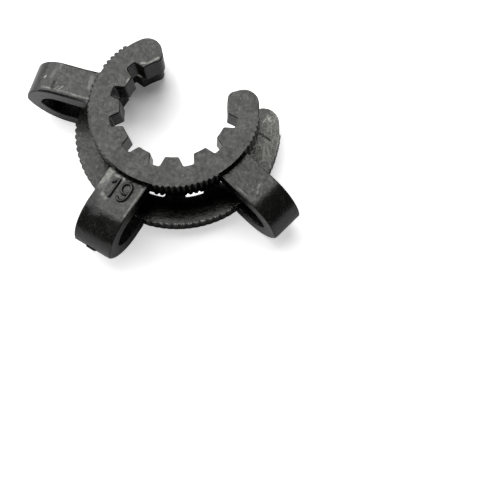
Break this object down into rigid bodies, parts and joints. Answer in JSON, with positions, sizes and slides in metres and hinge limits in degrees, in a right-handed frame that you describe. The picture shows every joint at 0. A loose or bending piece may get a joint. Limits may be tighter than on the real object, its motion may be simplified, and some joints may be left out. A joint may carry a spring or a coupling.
{
  "type": "ground glass joint clip",
  "caption": "Plastic spring clip: a small and a large toothed C-ring bridged by looped straps, holding a tapered glass joint together.",
  "frame": {"origin": "on the joint's axis, at the large ring's underside; the straps reach a little lower", "axes": "+Z along the joint's axis from the large ring to the small ring, +Y out of the mouth, middle strap towards -Y"},
  "size_m": [0.0518, 0.0369, 0.0114],
  "materials": {
    "black_plastic": "satin moulded black plastic"
  },
  "bodies": {
    "root": {"joint_clip": "black_plastic"}
  },
  "joints": []
}
